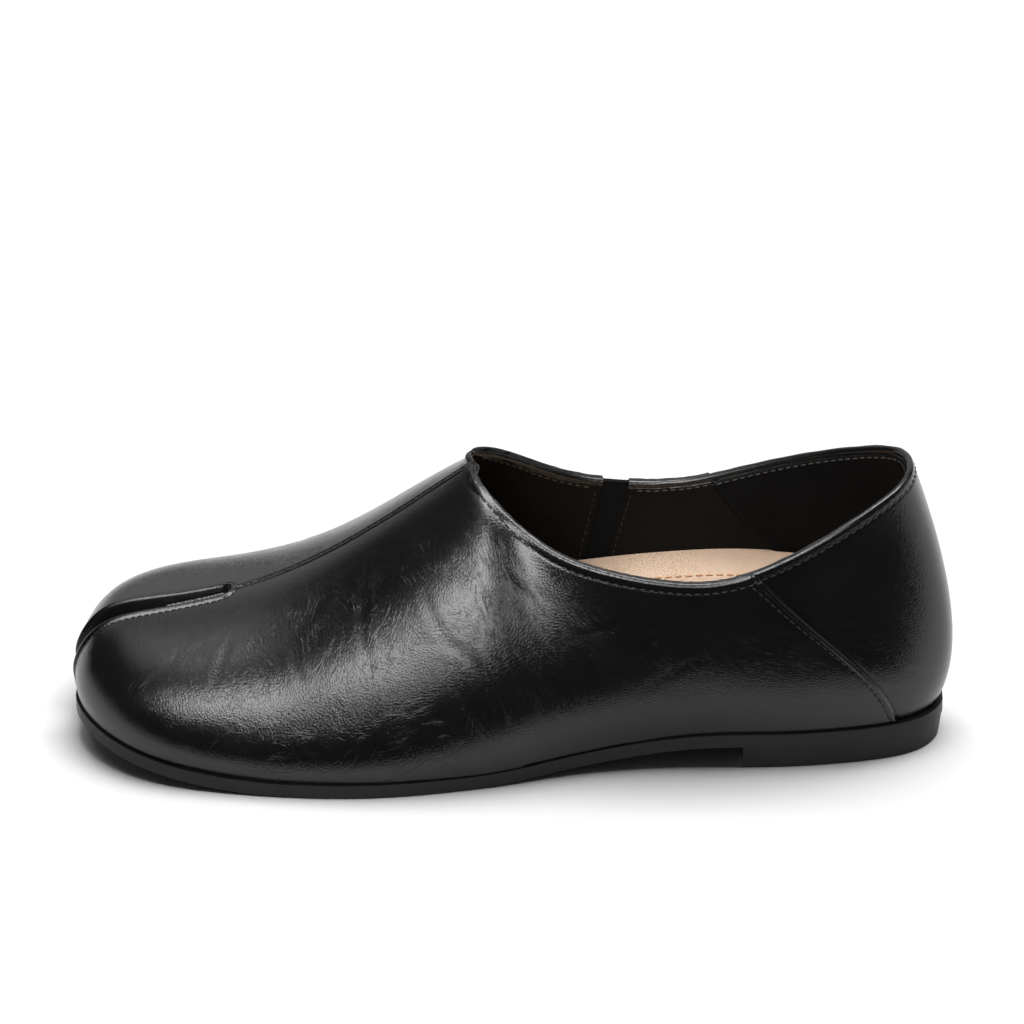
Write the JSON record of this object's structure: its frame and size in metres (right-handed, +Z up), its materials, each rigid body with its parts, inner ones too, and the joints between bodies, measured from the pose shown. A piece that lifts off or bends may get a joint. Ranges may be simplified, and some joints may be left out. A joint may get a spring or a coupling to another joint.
{
  "type": "split-toe loafer",
  "caption": "Black leather slip-on loafer for the left foot with a split toe, centre vamp seam, slanting back panel, elastic gore and low heel.",
  "frame": {"origin": "centre of the shoe's box seen from above, on the floor that it stands on", "axes": "+X towards the heel, -X towards the toe, +Y towards the inner side of the left foot, +Z up"},
  "size_m": [0.2557, 0.0933, 0.0871],
  "materials": {
    "black_leather": "smooth black leather with a soft gloss and a fine grain",
    "elastic": "black ribbed elastic webbing",
    "sock_leather": "matt beige sock lining with a fine texture",
    "sole_rubber": "satin black moulded rubber"
  },
  "bodies": {
    "root": {"upper": "black_leather", "toe_gusset": "black_leather", "elastic_gore": "elastic", "insole": "sock_leather", "outsole": "sole_rubber", "heel": "sole_rubber"}
  },
  "joints": []
}
